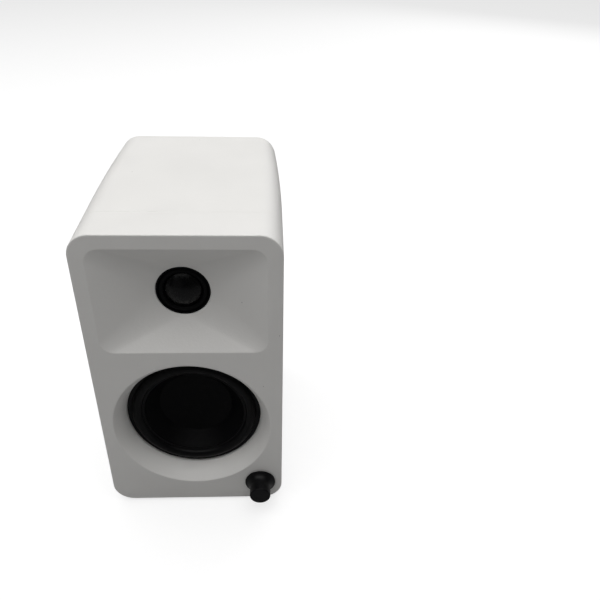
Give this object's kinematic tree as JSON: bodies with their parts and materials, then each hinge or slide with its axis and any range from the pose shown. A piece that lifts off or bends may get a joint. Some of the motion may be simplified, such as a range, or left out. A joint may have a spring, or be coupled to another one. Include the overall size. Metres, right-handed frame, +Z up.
{
  "type": "bookshelf speaker",
  "caption": "Compact powered two-way bookshelf speaker: painted box with curved sides, waveguide tweeter, recessed woofer, volume knob, and a rear amplifier plate and port.",
  "frame": {"origin": "centre of the bounding box's bottom face, on the surface that the rubber feet stand on", "axes": "+Z up through the cabinet, the drivers and the knob face -Y, +X is to the right as the front is looked at"},
  "size_m": [0.1, 0.1574, 0.178],
  "materials": {
    "painted_cabinet": "matt off-white paint over fibreboard",
    "rear_board": "matt off-white paint over fibreboard",
    "black_plastic": "satin black moulding",
    "wadding": "polyester wadding",
    "rubber": "satin black rubber",
    "black_steel": "black enamelled steel",
    "cone_paper": "coated black pulp",
    "coil_former": "brown kraft paper",
    "copper": "enamelled copper wire, given brass's density",
    "spider_cloth": "resin-treated cotton",
    "dome_silk": "coated black silk",
    "plated_steel": "zinc-plated steel",
    "ferrite": "dark grey ferrite",
    "felt": "grey felt",
    "terminal_board": "brown phenolic board with tinned tags",
    "nickel": "nickel-plated steel",
    "brass": "turned brass",
    "circuit_board": "green solder mask",
    "amp_panel": "fine-textured black powder coat",
    "white_plastic": "white moulding",
    "red_plastic": "red moulding",
    "heatsink_black": "black anodised aluminium",
    "capacitor_sleeve": "dark blue sleeve",
    "lead_insulation": "insulated wire"
  },
  "bodies": {
    "cabinet": {"cabinet_shell": "painted_cabinet", "front_baffle": "painted_cabinet", "rear_panel": "rear_board", "port_tube": "black_plastic", "damping_pads": "wadding", "foot_front_left": "rubber", "foot_front_right": "rubber", "foot_rear_left": "rubber", "foot_rear_right": "rubber", "woofer_gasket": "rubber", "woofer_basket": "black_steel", "woofer_surround": "rubber", "woofer_spider": "spider_cloth", "woofer_top_plate": "plated_steel", "woofer_magnet": "ferrite", "woofer_yoke": "plated_steel", "woofer_terminals": "terminal_board", "woofer_tinsel_leads": "copper", "woofer_screws": "black_steel", "tweeter_plate": "black_plastic", "tweeter_surround": "dome_silk", "tweeter_top_plate": "plated_steel", "tweeter_magnet": "ferrite", "tweeter_yoke": "plated_steel", "tweeter_felt": "felt", "tweeter_terminals": "terminal_board", "tweeter_screws": "black_steel", "encoder_bush": "brass", "encoder_body": "black_plastic", "encoder_washer": "nickel", "encoder_nut": "brass", "encoder_board": "circuit_board", "amp_plate": "amp_panel", "amp_plate_screws": "black_steel", "phono_shells": "nickel", "phono_cores": "white_plastic", "phono_ring_red": "red_plastic", "phono_ring_white": "white_plastic", "aux_jack": "black_plastic", "dc_inlet": "black_plastic", "terminal_housing": "black_plastic", "switch_case": "black_plastic", "amp_board": "circuit_board", "board_standoffs": "brass", "heatsink": "heatsink_black", "capacitors": "capacitor_sleeve", "crossover_coil": "copper", "internal_leads": "lead_insulation"},
    "woofer_moving_parts": {"woofer_cone": "cone_paper", "woofer_dust_cap": "cone_paper", "woofer_coil_former": "coil_former", "woofer_voice_coil": "copper"},
    "tweeter_moving_parts": {"tweeter_dome": "dome_silk", "tweeter_voice_coil": "copper"},
    "encoder_press": {"encoder_actuator": "white_plastic"},
    "knob": {"volume_knob": "black_plastic", "encoder_shaft": "nickel"},
    "lever_red": {"terminal_lever_red": "red_plastic"},
    "lever_black": {"terminal_lever_black": "black_plastic"},
    "rocker": {"power_rocker": "black_plastic"}
  },
  "joints": [
    {"name": "woofer_cone_slide", "type": "slide", "parent": "cabinet", "child": "woofer_moving_parts", "axis": [0, 1, 0], "range_m": [-0.003, 0.003], "stiffness_N_per_m": 1200, "deforming": ["woofer_surround", "woofer_spider", "woofer_tinsel_leads"]},
    {"name": "tweeter_dome_slide", "type": "slide", "parent": "cabinet", "child": "tweeter_moving_parts", "axis": [0, 1, 0], "range_m": [-0.0003, 0.0003], "stiffness_N_per_m": 800, "deforming": ["tweeter_surround"]},
    {"name": "knob_press", "type": "slide", "parent": "cabinet", "child": "encoder_press", "axis": [0, 1, 0], "range_m": [0, 0.0005], "stiffness_N_per_m": 400},
    {"name": "volume_turn", "type": "hinge", "parent": "encoder_press", "child": "knob", "pos_m": [0.03725, -0.06625, 0.01645], "axis": [0, 1, 0], "continuous": true},
    {"name": "terminal_lever_red_swing", "type": "hinge", "parent": "cabinet", "child": "lever_red", "pos_m": [0.008, 0.07542, 0.072], "axis": [1, 0, 0], "range_deg": [0, 14], "stiffness_Nm_per_rad": 0.05, "springref_deg": -11.46},
    {"name": "terminal_lever_black_swing", "type": "hinge", "parent": "cabinet", "child": "lever_black", "pos_m": [-0.008, 0.07542, 0.072], "axis": [1, 0, 0], "range_deg": [0, 14], "stiffness_Nm_per_rad": 0.05, "springref_deg": -11.46},
    {"name": "power_rocker_swing", "type": "hinge", "parent": "cabinet", "child": "rocker", "pos_m": [-0.015, 0.06975, 0.043], "axis": [1, 0, 0], "range_deg": [0, 24]}
  ]
}
